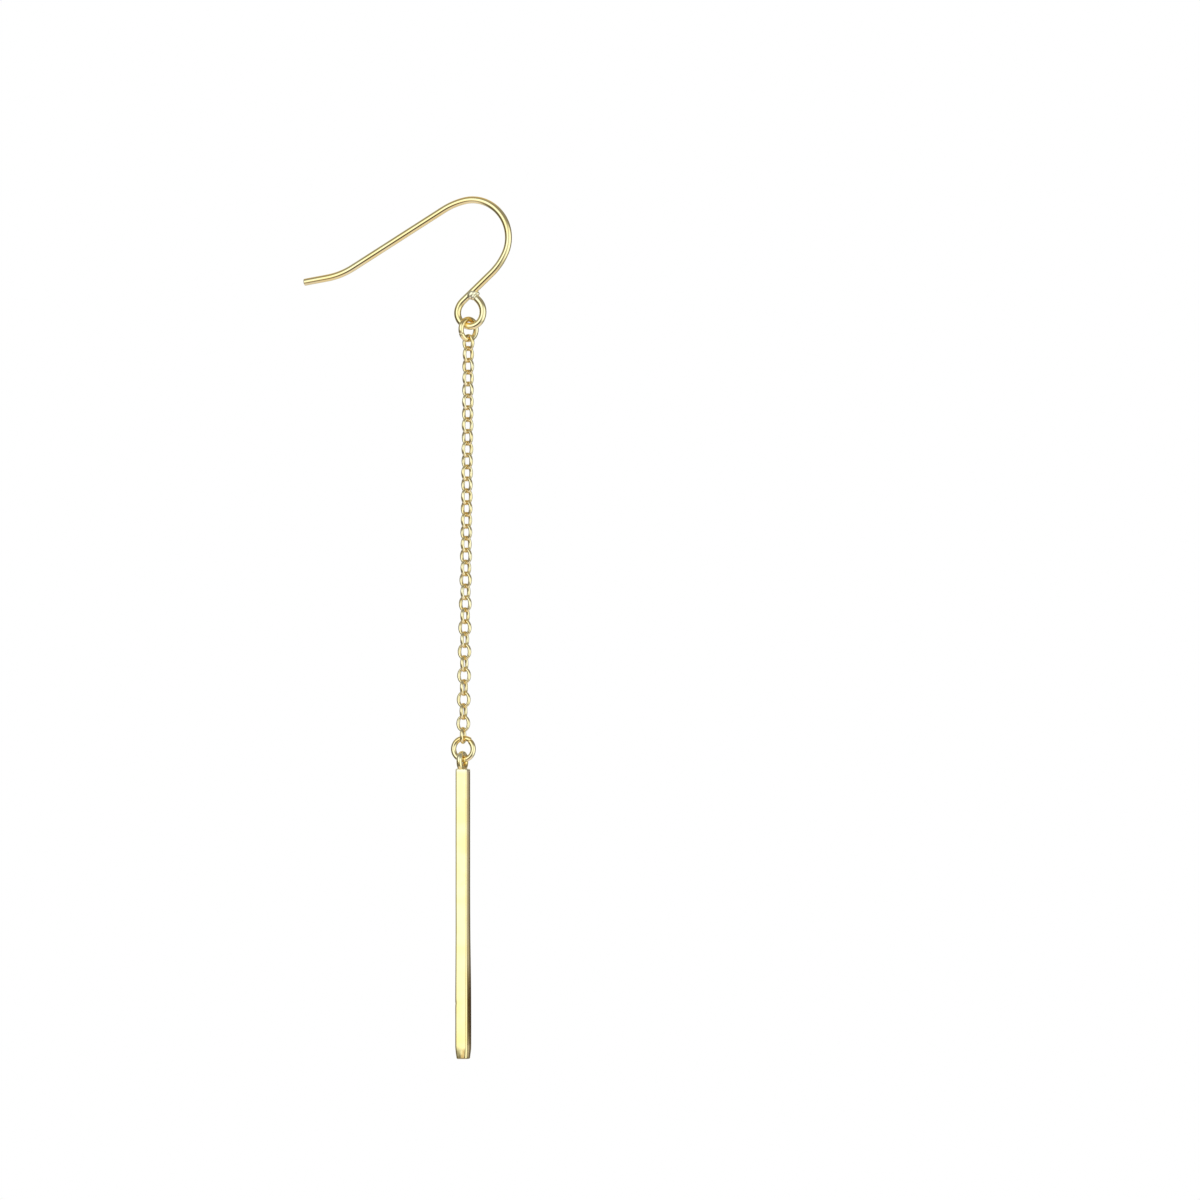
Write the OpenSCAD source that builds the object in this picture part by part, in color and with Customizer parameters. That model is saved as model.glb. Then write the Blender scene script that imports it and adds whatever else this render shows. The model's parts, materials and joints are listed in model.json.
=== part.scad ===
// Bar earring: a bent ear wire, a jump ring, a cable chain, a second jump
// ring, and a square bar that hangs from an eye soldered to its top end.
// Millimetres, +Z up. The hook lies in the XZ plane and its tip points to -X.
// The origin is where the earring hangs: the underside of the hook's crest.

/* [Ear wire] */
// Thickness of the ear wire
wire_d = 0.75; // [0.65:0.05:0.8]
// Slope of the kicked-out tip, in degrees above level
tip_slope = 10; // [6:1:14]
// Length of the straight tip
tip_len = 2.6; // [2:0.1:4]
// Angle by which the leg rises more steeply than the tip
kick_turn = 21.2; // [15:0.1:25]
// Length of the straight leg from the kick to the shoulder
leg_len = 11.7; // [9:0.1:14]
// Radius of the main bend that sits in the ear
bend_r = 3.97; // [3.5:0.01:4.5]
// Length of the straight shank from the bend to the loop
shank_len = 4.3; // [3.6:0.1:5]
// Radius of the teardrop loop's round end
loop_r = 1.39; // [1.3:0.01:1.5]

/* [Jump rings] */
// Outside diameter of the upper ring
upper_ring_d = 2.72; // [2.6:0.02:3]
// Wire of the upper ring
upper_ring_wire = 0.58; // [0.54:0.01:0.59]
// Direction of the upper ring's plane about the vertical, in degrees
upper_ring_yaw = 61; // [58:0.5:66]
// Outside diameter of the lower ring
lower_ring_d = 2.8; // [2.7:0.02:2.9]
// Wire of the lower ring
lower_ring_wire = 0.58; // [0.5:0.01:0.58]
// Direction of the lower ring's plane about the vertical, in degrees
lower_ring_yaw = -4; // [-6:0.5:6]

/* [Chain] */
// Number of links
link_count = 34; // [24:1:34]
// Length of one link over its ends
link_len = 1.96; // [1.92:0.01:2]
// Width of one link over its sides
link_wid = 1.56; // [1.5:0.01:1.6]
// Thickness of a link's sides
link_side = 0.42; // [0.38:0.01:0.42]
// Thickness of a link's ends, where the next link bears
link_end = 0.34; // [0.32:0.01:0.35]
// Direction of the even links' planes about the vertical, in degrees
chain_yaw = 66.5; // [64:0.5:69]
// Twist that the chain has gathered at the link before the last, in degrees
chain_twist = 19; // [0:1:20]
// Further twist of the last link, in degrees
last_link_twist = 8; // [0:1:12]
// Backward twist half way down the upper part, in degrees
chain_untwist = 5; // [0:1:6]
// How far the chain drifts to one side over its length
chain_drift = 0.63; // [0:0.01:0.8]
// How far the middle of the chain bows to the other side
chain_bow = 0.06; // [0:0.01:0.1]
// How far the middle of the chain rides up in the links' play
chain_rise = 0.08; // [0:0.01:0.1]

/* [Bar] */
// Side of the square bar
bar_side = 1.32; // [1.1:0.01:1.5]
// Length of the bar
bar_len = 30.5; // [20:0.1:40]
// Rounding of the bar's long edges
bar_edge_r = 0.18; // [0.1:0.01:0.25]
// Rounding of the bar's end edges
bar_end_r = 0.22; // [0.1:0.01:0.3]
// Outside diameter of the eye on the bar
eye_d = 2.12; // [2.1:0.02:2.3]
// Wire of the eye
eye_wire = 0.62; // [0.46:0.01:0.62]
// Direction of the eye's plane about the vertical, in degrees
eye_yaw = 83; // [66:1:88]
// How deep the eye is sunk into the bar's end
eye_sink = 0.24; // [0.1:0.01:0.24]

/* [Hidden] */
$fn = 48;
// Gap left between pieces that bear on each other
gap = 0.03;
// The upper ring rests this far to the left of the loop's lowest point, and
// so its wire rides this far up the loop's round side
ring_rest = 0.18;
ring_lift = 0.04;
// The lower ring lies this far to the right of the chain's end, and the eye this
// far to the left of it
ring_aside = 0.06;
eye_aside = 0.05;
// Sizes of the solder beads, and how far each lies from the end it holds
loop_solder_r = 0.45;
loop_solder_reach = 0.21;
eye_solder_r = 0.45;
eye_solder_drop = 0.17;

// The ear wire, from its tip to the end of its loop. Each row is a straight
// run and the bend after it: [run, bend radius, turn], turn positive upwards.
RUN = 0;
RADIUS = 1;
TURN = 2;
ear_wire_rows = [
    [tip_len, 8.2, kick_turn],
    [leg_len, 7.9, -18.3],
    [0, bend_r, -127.9],
    [0, 6.6, -22.2],
    [shank_len, 1.93, 30.9],
    [0, loop_r, 173.1],
    [0, 1.72, 68.8],
    [0.4, 1, 0]
];
BEND_ROW = 2;
LOOP_ROW = 5;

// A place on the wire is [x, z, heading], with the heading in degrees.
function after_run(p, run) = [p.x + run * cos(p[2]), p.y + run * sin(p[2]), p[2]];
function after_bend(p, r, turn) =
    let (s = sign(turn), h = p[2])
    [
        p.x + s * r * (sin(h + turn) - sin(h)),
        p.y - s * r * (cos(h + turn) - cos(h)),
        h + turn
    ];
function run_start(i) =
    i == 0
        ? [0, 0, tip_slope]
        : after_bend(bend_start(i - 1), ear_wire_rows[i - 1][RADIUS], ear_wire_rows[i - 1][TURN]);
function bend_start(i) = after_run(run_start(i), ear_wire_rows[i][RUN]);
// The place inside a bend where the wire runs level
function level_place(i) =
    let (p = bend_start(i)) after_bend(p, ear_wire_rows[i][RADIUS], -p[2]);

crest = level_place(BEND_ROW);
loop_low = level_place(LOOP_ROW);
loop_bead = after_run(run_start(len(ear_wire_rows)), loop_solder_reach);

// The tip is a true cylinder, and the rest of the wire is a tube of BEND_SIDES
// corners with a ring at most BEND_STEP degrees after the last one. The tube
// starts with a narrow root inside the tip.
BEND_SIDES = 16;
BEND_STEP = 9;
root_r = 0.28;
root_depth = 0.1;
root_clear = 0.03;
function row_places(i) =
    let (
        row = ear_wire_rows[i],
        steps = ceil(abs(row[TURN]) / BEND_STEP),
        starts_here = i > 0 && row[RUN] > 0
    )
    steps == 0
        ? [after_run(run_start(i), row[RUN])]
        : [
            for (k = [starts_here ? 0 : 1:steps])
                after_bend(bend_start(i), row[RADIUS], row[TURN] * k / steps)
        ];
tube_places = [
    after_run(run_start(0), tip_len - root_depth),
    after_run(run_start(0), tip_len + root_clear),
    for (i = [0:len(ear_wire_rows) - 1]) each row_places(i)
];
function tube_ring(p, r) = [
    for (k = [0:BEND_SIDES - 1])
        let (q = 360 * k / BEND_SIDES)
        [p.x - r * cos(q) * sin(p[2]), r * sin(q), p.y + r * cos(q) * cos(p[2])]
];
tube_points = [
    for (i = [0:len(tube_places) - 1])
        each tube_ring(tube_places[i], i == 0 ? root_r : wire_d / 2)
];

// Heights down the hanging stack, each piece bearing on the one above
loop_seat_z = loop_low.y - crest.y + wire_d;
hang_x = loop_low.x - crest.x - ring_rest;
upper_ring_r = (upper_ring_d - upper_ring_wire) / 2;
upper_ring_z = loop_seat_z + ring_lift + gap - upper_ring_r + upper_ring_wire / 2;
link_hole_half = link_len / 2 - link_end;
first_link_z = upper_ring_z - upper_ring_r + upper_ring_wire / 2 + gap - link_hole_half;
link_pitch = link_len - 2 * link_end - gap;
last_link_z = first_link_z - (link_count - 1) * link_pitch;
lower_ring_r = (lower_ring_d - lower_ring_wire) / 2;
lower_ring_z = last_link_z - link_hole_half + gap + lower_ring_wire / 2 - lower_ring_r;
eye_r = (eye_d - eye_wire) / 2;
eye_z = lower_ring_z - lower_ring_r + lower_ring_wire / 2 + gap + eye_wire / 2 - eye_r;
bar_top_z = eye_z - eye_d / 2 + eye_sink;
low_x = hang_x - chain_drift;

// A link is a closed tube of LINK_STEPS rings with WIRE_SIDES corners each.
LINK_STEPS = 16;
WIRE_SIDES = 6;
link_axial = link_side / (2 * sin(60));
link_hole_r = link_wid / 2 - link_side;
// Links past this one gather the twist, and the untwist fades in before it
TWIST_FROM = 17;

function link_name(i) = str("link_", i < 10 ? "0" : "", i);
function clamp(v, low, high) = max(low, min(high, v));
function ease(t) = let (u = clamp(t, 0, 1)) u * u * (3 - 2 * u);
function link_yaw(i) =
    chain_yaw + 90 * i
    + chain_twist * ease((i - TWIST_FROM) / (link_count - 3 - TWIST_FROM))
    + (i == link_count ? last_link_twist : 0)
    - chain_untwist * sin(180 * clamp((i - 1) / TWIST_FROM, 0, 1));
function link_x(i) =
    hang_x - chain_drift * i / (link_count + 1)
    + chain_bow * sin(180 * i / (link_count + 1));
function link_z(i) =
    first_link_z - (i - 1) * link_pitch
    + chain_rise * sin(180 * (i - 1) / (link_count - 1));

// The outer edge of a link is an ellipse, and its hole has round ends.
function link_outer(t) = [link_wid / 2 * cos(t), link_len / 2 * sin(t)];
function link_inner(t) = [
    link_hole_r * cos(t),
    link_hole_r * sin(t) + (link_hole_half - link_hole_r) * clamp(2 * sin(t), -1, 1)
];
function link_ring(t) =
    let (a = link_outer(t), b = link_inner(t), mid = (a + b) / 2, arm = (a - b) / 2)
    [
        for (k = [0:WIRE_SIDES - 1])
            let (q = 360 * k / WIRE_SIDES)
            [mid.x + arm.x * cos(q), -link_axial * sin(q), mid.y + arm.y * cos(q)]
    ];
link_points = [for (i = [0:LINK_STEPS - 1]) each link_ring(360 * i / LINK_STEPS)];

// The triangles of a tube: spans of sides each, the last span back to ring 0
// when the tube is a closed loop of rings
function tube_faces(spans, sides, rings) = [
    for (i = [0:spans - 1], k = [0:sides - 1])
        let (
            i2 = (i + 1) % rings,
            k2 = (k + 1) % sides,
            a = i * sides + k,
            b = i * sides + k2,
            c = i2 * sides + k2,
            d = i2 * sides + k
        )
        each [[a, c, d], [a, b, c]]
];
function end_faces(sides, rings) = [
    for (k = [1:sides - 2])
        let (last = (rings - 1) * sides)
        each [[0, k + 1, k], [last, last + k, last + k + 1]]
];
link_faces = tube_faces(LINK_STEPS, WIRE_SIDES, LINK_STEPS);
ear_wire_faces = concat(
    tube_faces(len(tube_places) - 1, BEND_SIDES, len(tube_places)),
    end_faces(BEND_SIDES, len(tube_places))
);

// A closed round ring standing upright, its plane turned by yaw
module upright_ring(r, wire, yaw) {
    rotate([90, 0, yaw])
        rotate_extrude()
            translate([r, 0])
                circle(d = wire);
}

module ear_wire() {
    color("khaki")
        translate([-crest.x, 0, wire_d / 2 - crest.y])
            union() {
                rotate([0, 90 - tip_slope, 0])
                    cylinder(d = wire_d, h = tip_len);
                polyhedron(points = tube_points, faces = ear_wire_faces);
                translate([loop_bead.x, 0, loop_bead.y])
                    sphere(r = loop_solder_r);
            }
}

module upper_ring() {
    color("palegoldenrod")
        translate([hang_x, 0, upper_ring_z])
            upright_ring(upper_ring_r, upper_ring_wire, upper_ring_yaw);
}

module link(i) {
    color(i % 2 == 0 ? "gold" : "khaki")
        translate([link_x(i), 0, link_z(i)])
            rotate([0, 0, link_yaw(i)])
                polyhedron(points = link_points, faces = link_faces);
}

module lower_ring() {
    color("palegoldenrod")
        translate([low_x + ring_aside, 0, lower_ring_z])
            upright_ring(lower_ring_r, lower_ring_wire, lower_ring_yaw);
}

// A rectangle with rounded corners, centred
module rounded_rectangle(w, h, r) {
    square([w - 2 * r, h], center = true);
    square([w, h - 2 * r], center = true);
    for (x = [-1, 1], y = [-1, 1])
        translate([x * (w / 2 - r), y * (h / 2 - r)])
            circle(r = r);
}

// The square rod, with its long edges and its end edges rounded
module rod() {
    intersection() {
        linear_extrude(height = bar_len, center = true)
            rounded_rectangle(bar_side, bar_side, bar_edge_r);
        rotate([90, 0, 0])
            linear_extrude(height = 2 * bar_side, center = true)
                rounded_rectangle(bar_side, bar_len, bar_end_r);
        rotate([90, 0, 90])
            linear_extrude(height = 2 * bar_side, center = true)
                rounded_rectangle(bar_side, bar_len, bar_end_r);
    }
}

module bar() {
    color("lemonchiffon")
        union() {
            translate([low_x, 0, bar_top_z - bar_len / 2])
                rod();
            translate([low_x - eye_aside, 0, eye_z])
                upright_ring(eye_r, eye_wire, eye_yaw);
            translate([low_x, 0, bar_top_z - eye_solder_drop])
                sphere(r = eye_solder_r);
        }
}

ear_wire();
upper_ring();
for (i = [1:link_count]) link(i);
lower_ring();
bar();
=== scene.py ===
"""Bar earring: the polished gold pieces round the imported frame, and a white studio."""

import json
import math

import bpy
import numpy as np
from bpy.props import FloatProperty, FloatVectorProperty, IntProperty, PointerProperty
from bpy.types import Operator, Panel, PropertyGroup
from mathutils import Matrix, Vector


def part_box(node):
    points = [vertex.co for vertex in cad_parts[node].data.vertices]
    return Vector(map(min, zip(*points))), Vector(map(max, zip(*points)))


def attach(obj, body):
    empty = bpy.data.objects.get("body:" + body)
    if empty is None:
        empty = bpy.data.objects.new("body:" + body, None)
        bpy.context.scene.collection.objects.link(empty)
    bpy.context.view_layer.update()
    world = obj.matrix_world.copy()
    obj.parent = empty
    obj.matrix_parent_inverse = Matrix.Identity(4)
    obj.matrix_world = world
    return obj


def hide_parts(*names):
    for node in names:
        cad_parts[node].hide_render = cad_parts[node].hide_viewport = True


bl_info = {
    "name": "Bar Earring",
    "version": (1, 0, 0),
    "blender": (4, 5, 0),
    "location": "3D View > Sidebar > Bar Earring",
    "description": "Builds the polished pieces of a bar earring and its studio",
    "category": "Object",
}

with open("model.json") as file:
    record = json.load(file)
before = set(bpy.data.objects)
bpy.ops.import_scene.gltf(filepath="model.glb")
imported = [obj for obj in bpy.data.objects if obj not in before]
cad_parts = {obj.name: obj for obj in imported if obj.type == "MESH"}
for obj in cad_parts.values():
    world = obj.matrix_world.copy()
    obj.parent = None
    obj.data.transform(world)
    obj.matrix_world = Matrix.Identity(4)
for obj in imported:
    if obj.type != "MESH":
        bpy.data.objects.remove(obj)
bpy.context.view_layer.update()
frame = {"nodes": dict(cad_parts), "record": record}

MM = 0.001
HOOK_BODY = "hook_and_chain"
RING_BODY = "lower_ring"
BAR_BODY = "bar"
LINK_NODES = sorted(n for n in frame["nodes"] if n.startswith("link_"))
UP = np.array([0.0, 0.0, 1.0])
FORWARD = np.array([0.0, 1.0, 0.0])

# The camera's turn round the earring in degrees, and in metres the point that it looks
# at, how far back it stands and the width that it sees there
CAMERA_TURN = 18.0
CAMERA_TARGET = (0.01273, 0.004134, -0.0416575)
CAMERA_DISTANCE = 4.0
FRAME_WIDTH = 0.126

# The card that the bar's right side reflects, in metres: where the bar's line meets the
# height of the hook's crest, how far behind that the card stands, how far it reaches to
# the left and the right, and how far down its upper and lower edges are
CARD_LINE = np.array([-0.00101, 0.0, 0.0])
CARD_BEHIND = 0.17
CARD_LEFT, CARD_RIGHT = 0.03, 0.055
CARD_TOP, CARD_FOOT = 0.055, 0.11

# The card's colours, and in metres how far down its dark band fades in and out, how far
# down the shade's edge leans, how far it leans, and where across the shade fades
CARD_GREY, CARD_BROWN = (0.60, 0.59, 0.60), (0.09, 0.065, 0.035)
CARD_SHADE = (0.04, 0.03, 0.02)
BAND_IN, BAND_OUT = (0.0785, 0.084), (0.0888, 0.0911)
LEAN_OVER = (0.070, 0.0875)
LEAN = 0.027
SHADE_EDGE = (-0.005, 0.012)

# The floor reaches this far each way, in metres
FLOOR_REACH = 1.5

# The room that the metal reflects, as discs on the sky, each painted over the ones
# before it. Each row is the disc's turn from the camera to the right and its height,
# the angles from its middle where it begins and ends to fade, all in degrees, and
# its brightness and tint.
SKY_PATCHES = (
    (180, 60, 20, 40, 0.60, (1.0, 0.80, 0.45)),
    (180, 5, 22, 42, 1.0, (0.94, 1.0, 0.98)),
    (-92, -18, 24, 42, 0.13, (1.0, 0.95, 0.82)),
    (120, 10, 24, 40, 0.20, (1.0, 0.97, 0.88)),
    (42, 50, 12, 28, 0.28, (1.0, 0.95, 0.85)),
    (12, -5, 22, 38, 0.75, (0.94, 1.0, 0.98)),
    (55, -10, 20, 40, 1.4, (0.90, 1.0, 1.0)),
    (-33, 16, 18, 35, 1.5, (0.90, 1.0, 1.0)),
    (-15, -30, 10, 27, 0.10, (1.0, 0.90, 0.72)),
    (-38, -17, 5, 12, 0.80, (1.0, 0.88, 0.68)),
)

# The bent ear wire from its tip to the end of its loop. Each row is a straight
# run in mm, the radius in mm of the bend after it, and its turn in degrees.
EAR_WIRE_ROWS = (
    (2.6, 8.2, 21.2),
    (11.7, 7.9, -18.3),
    (0.0, 3.97, -127.9),
    (0.0, 6.6, -22.2),
    (4.3, 1.93, 30.9),
    (0.0, 1.39, 173.1),
    (0.0, 1.72, 68.8),
    (0.4, 0.0, 0.0),
)
TIP_SLOPE = 10.0

# The most turn between two rings of points on a bend in degrees, and the space between
# them on a straight run in mm
BEND_STEP = 2.5
STRAIGHT_STEP = 0.4

# Half way round the ear wire in mm, the loop's lowest place, where its ring hangs, how
# far from it the wire is painted deeper gold as the ring's reflection in it and rubbing,
# and how far from the loop's end solder has run
WIRE_HALF_ROUND = 1.18
RING_SEAT = np.array([-0.26, 0.0, -12.9]) * MM
SEAT_REFLECTION_REACH = 0.7 * MM
SOLDER_RUN = 0.55 * MM

# How much painted shade darkens the tip, and how far along the wire that reaches
TIP_PAINTED_SHADE = 0.16
TIP_SHADE_REACH = 2.6 * MM

# The solder that closes the loop: a patch over the shank, the bridge from the loop's
# end to it, and a small knob in the fork between them. Each row is the place from the
# loop's end and the half sizes, in mm, and the lean in degrees.
SOLDER_BEADS = (
    ((-0.42, -0.07, 0.31), (0.68, 0.43, 0.44), 44.0),
    ((-0.22, -0.04, 0.12), (0.46, 0.40, 0.40), 42.0),
    ((0.16, -0.05, 0.42), (0.27, 0.26, 0.24), -20.0),
)

# The jump rings. Each row is the piece, its node and body, the setting of its wire, its
# turn about the vertical and its cut's place round it in degrees, and its share of the
# join step.
JUMP_RINGS = (
    ("upper_jump_ring", "upper_ring", HOOK_BODY, "upper_wire", 61.0, 200.0, 0.2),
    ("lower_jump_ring", "lower_ring", RING_BODY, "lower_wire", -4.0, 50.0, 1.0),
)

# Rings of points round an upright ring and points round its wire, and how closely the
# rings crowd together at the cut, from 0 to 1
RING_ROWS, RING_COLUMNS = 120, 20
CUT_CROWDING = 0.855

# The cut in a ring: the depth of its groove as a share of the wire, half the width of
# the groove, how soon the step rises, and how soon it fades away again
GROOVE_DEPTH = 0.16
GROOVE_REACH = 0.05 * MM
STEP_RISE = 0.03 * MM
STEP_REACH = 0.5 * MM

# Where a jump ring's top is painted deeper gold as a reflection of the link or loop in
# it: from and to these heights over its middle, and how much
TOP_REFLECTION_FROM, TOP_REFLECTION_TO = 0.4 * MM, 0.9 * MM
TOP_REFLECTION = 0.8

# How the links are turned about the vertical, in degrees: the turn before the first,
# the twist that the lower chain gathers and the link that it starts from, the last
# link's own twist, and how far the upper chain is untwisted
FIRST_TURN = 66.5
GATHERED_TWIST = 19.0
TWIST_FROM = 17
LAST_TWIST = 8.0
UNTWIST = 5.0

# From the end of a link's box to its hole, where the next link bears, the way once
# round a link, and its soldered seam's place in degrees and half its width
LINK_BEARING = 0.34 * MM
LINK_ROUND = 5.2 * MM
LINK_SEAM_AT = 8.0
LINK_SEAM_REACH = 0.09 * MM

# The eye's turn about the vertical and its cut's place in degrees, how far it stands
# aside, the way from its middle to the pale painted highlight on its arch and how far
# that way the highlight fades in, and how far back the eye is fully painted deeper gold
# as a reflection of the pieces round it
EYE_TURN = 83.0
EYE_CUT_AT = 262.0
EYE_ASIDE = -0.05 * MM
EYE_HIGHLIGHT_WAY = np.array([math.sin(math.radians(CAMERA_TURN)), -0.9, 1.0])
EYE_HIGHLIGHT_IN = (0.75 * MM, 1.25 * MM)
EYE_REAR_REFLECTION = 0.4 * MM

# The mound of solder under the eye: its height, how fast it falls, how far it is sunk,
# the radius of its rim and how far that drops, and how far its foot stands in the bar
MOUND_HEIGHT = 0.26 * MM
MOUND_REACH = 0.38 * MM
MOUND_SUNK = 0.012 * MM
MOUND_RIM = 0.52 * MM
RIM_DROP = 0.06 * MM
MOUND_FOOT = 0.25 * MM

# The rounding of the bar's two ends, and how much rounder than the other long edges the
# front left one is, the front right one becomes low down, and all become where worn
TOP_ROUND, LOW_ROUND = 0.16 * MM, 0.13 * MM
SOFT_FRONT_LEFT = 0.035 * MM
SOFT_FRONT_RIGHT = 0.08 * MM
SOFT_WORN = 0.03 * MM

# Down the bar, where its flare, its twist and its lean aside come in
FLARE_OVER = (16 * MM, 25 * MM)
TWIST_OVER = (10.5 * MM, 26.5 * MM)
ASIDE_OVER = (12 * MM, 26 * MM)

# How far the worn end of the bar leans inwards as a share of its length, and how soon
WEAR_SLOPE = 0.11
WEAR_ONSET = 0.35

# Unevenness of the bar: of its worn end, and a wave in its faces
UNEVEN_END = 0.004 * MM
FACE_WAVE = 0.001 * MM

# The nick in the bar's front left edge: how far down it is, its reach and its depth
NICK_DOWN, NICK_REACH, NICK_DEPTH = 24.7 * MM, 0.14 * MM, 0.06 * MM

# The low swelling of the bar's front near its lower end: how far up it is, its reach
# and its height
SWELL_UP, SWELL_REACH, SWELL_HEIGHT = 0.42 * MM, 0.24 * MM, 0.035 * MM

# The gold plate where it drifts to warm and to pale, as shares of its colour, and the
# colours of solder and of a pale painted highlight, of deeper gold painted where pieces
# meet as their reflection in each other and where worn, and of painted shade
WARM_TINT, PALE_TINT = (1.0, 0.965, 0.88), (1.0, 1.02, 1.1)
SOLDER_AND_HIGHLIGHT_COLOUR = (1.0, 0.92, 0.70)
RUB_AND_REFLECTION_COLOUR = (0.97, 0.69, 0.23)
PAINTED_SHADE_COLOUR = (0.22, 0.17, 0.08)

# How much of the plate a full mark covers: of solder and painted highlight, of painted
# reflection and wear, and of painted shade
MARK_COVER = 0.8

# How many features the drift of colour, the haze of handling and the lumps of solder
# have in a metre, and how much finer the draw lines are across the wire than along it
DRIFT_SCALE, HAZE_SCALE, LUMP_SCALE = 420.0, 1500.0, 5200.0
LINES_ACROSS, LINES_ALONG = 14.0, 0.5


def mount_radius(name):
    """The radius that a named mount of the record gives, in metres."""
    mounts = {mount["name"]: mount for mount in frame["record"]["mounts"]}
    return mounts[name]["dims"]["r_mm"] * MM


def box_size(node):
    """The size of a CAD node's box: its highest corner less its lowest."""
    low, high = (np.array(corner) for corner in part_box(node))
    return high - low


def box_centre(node):
    """The middle of a CAD node's box: half the sum of its two corners."""
    low, high = (np.array(corner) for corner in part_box(node))
    return (low + high) / 2


class WireSettings(PropertyGroup):
    """Sizes and colour of the ear wire."""

    thickness: FloatProperty(
        name="Thickness", description="Thickness of the ear wire",
        default=2 * mount_radius("wire_tip"), min=0.0005, max=0.001,
        unit="LENGTH", precision=5)
    tip_round: FloatProperty(
        name="Tip Rounding", description="Rounding of the edge of the cut tip",
        default=0.00008, min=0.0, max=0.0003, unit="LENGTH", precision=5)
    colour: FloatVectorProperty(
        name="Gold", description="Colour of the plate on the ear wire",
        default=(0.95, 0.79, 0.43), min=0.0, max=1.0, subtype="COLOR")


class RingSettings(PropertyGroup):
    """Sizes and colour of the two jump rings."""

    upper_wire: FloatProperty(
        name="Upper Wire", description="Wire thickness of the upper ring",
        default=0.00058, min=0.0003, max=0.0008, unit="LENGTH", precision=5)
    lower_wire: FloatProperty(
        name="Lower Wire", description="Wire thickness of the lower ring",
        default=0.00058, min=0.0003, max=0.0008, unit="LENGTH", precision=5)
    join_step: FloatProperty(
        name="Join Step", description="How far the lower ring's cut ends miss each other",
        default=0.00008, min=0.0, max=0.0004, unit="LENGTH", precision=5)
    colour: FloatVectorProperty(
        name="Gold", description="Colour of the plate on the jump rings",
        default=(0.95, 0.795, 0.455), min=0.0, max=1.0, subtype="COLOR")


class ChainSettings(PropertyGroup):
    """Sizes and colour of the chain's links."""

    width: FloatProperty(
        name="Link Width", description="Width of a link over its sides",
        default=0.00156, min=0.001, max=0.002, unit="LENGTH", precision=5)
    side: FloatProperty(
        name="Side Thickness", description="Thickness of a link's sides",
        default=0.000385, min=0.0002, max=0.0006, unit="LENGTH", precision=5)
    end: FloatProperty(
        name="End Thickness", description="Thickness of a link's ends",
        default=0.00027, min=0.0002, max=0.0006, unit="LENGTH", precision=5)
    steps: IntProperty(
        name="Steps", description="Rings of points round a link", default=48, min=16, max=96)
    colour: FloatVectorProperty(
        name="Gold", description="Colour of the plate on the chain",
        default=(0.97, 0.81, 0.46), min=0.0, max=1.0, subtype="COLOR")


class BarSettings(PropertyGroup):
    """Sizes and colour of the bar and the eye on its top."""

    side: FloatProperty(
        name="Side", description="Side of the square bar",
        default=0.00132, min=0.0008, max=0.002, unit="LENGTH", precision=5)
    length: FloatProperty(
        name="Length", description="Length of the bar",
        default=0.0305, min=0.02, max=0.04, unit="LENGTH", precision=5)
    edge_round: FloatProperty(
        name="Edge Rounding", description="Rounding of the bar's long edges",
        default=0.00018, min=0.00005, max=0.0003, unit="LENGTH", precision=5)
    crown: FloatProperty(
        name="Crown", description="How much higher a face's middle is than its edges",
        default=0.000012, min=0.0, max=0.00005, unit="LENGTH", precision=6)
    twist: FloatProperty(
        name="Twist", description="How far the bar is twisted from its top to its lower end",
        default=math.radians(-4.5), min=-0.2, max=0.2, unit="ROTATION")
    flare: FloatProperty(
        name="Flare", description="How much further out a face stands at the bar's lower end",
        default=0.00004, min=0.0, max=0.0001, unit="LENGTH", precision=5)
    worn: FloatProperty(
        name="Worn Length", description="Length of the worn lower end",
        default=0.0013, min=0.0003, max=0.002, unit="LENGTH", precision=5)
    eye_width: FloatProperty(
        name="Eye Width", description="Outside diameter of the eye",
        default=0.00212, min=0.0015, max=0.003, unit="LENGTH", precision=5)
    eye_wire: FloatProperty(
        name="Eye Wire", description="Wire thickness of the eye",
        default=0.00062, min=0.0003, max=0.0007, unit="LENGTH", precision=5)
    eye_legs: FloatProperty(
        name="Eye Legs", description="How far the eye's lower half is straightened",
        default=0.25, min=0.0, max=0.5)
    colour: FloatVectorProperty(
        name="Gold", description="Colour of the plate on the bar",
        default=(0.95, 0.785, 0.39), min=0.0, max=1.0, subtype="COLOR")


class StudioSettings(PropertyGroup):
    """The studio round the earring."""

    light: FloatProperty(
        name="Light", description="Brightness of the white panels", default=1.0,
        min=0.0, max=4.0)
    dark: FloatProperty(
        name="Dark", description="Brightness of the room between the panels", default=0.34,
        min=0.0, max=1.0)
    table: FloatProperty(
        name="Table", description="Brightness of the lit table below", default=0.84,
        min=0.0, max=2.0)
    floor_drop: FloatProperty(
        name="Floor Drop", description="Height of the floor below the hook", default=0.25,
        min=0.1, max=1.0, unit="LENGTH")


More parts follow.
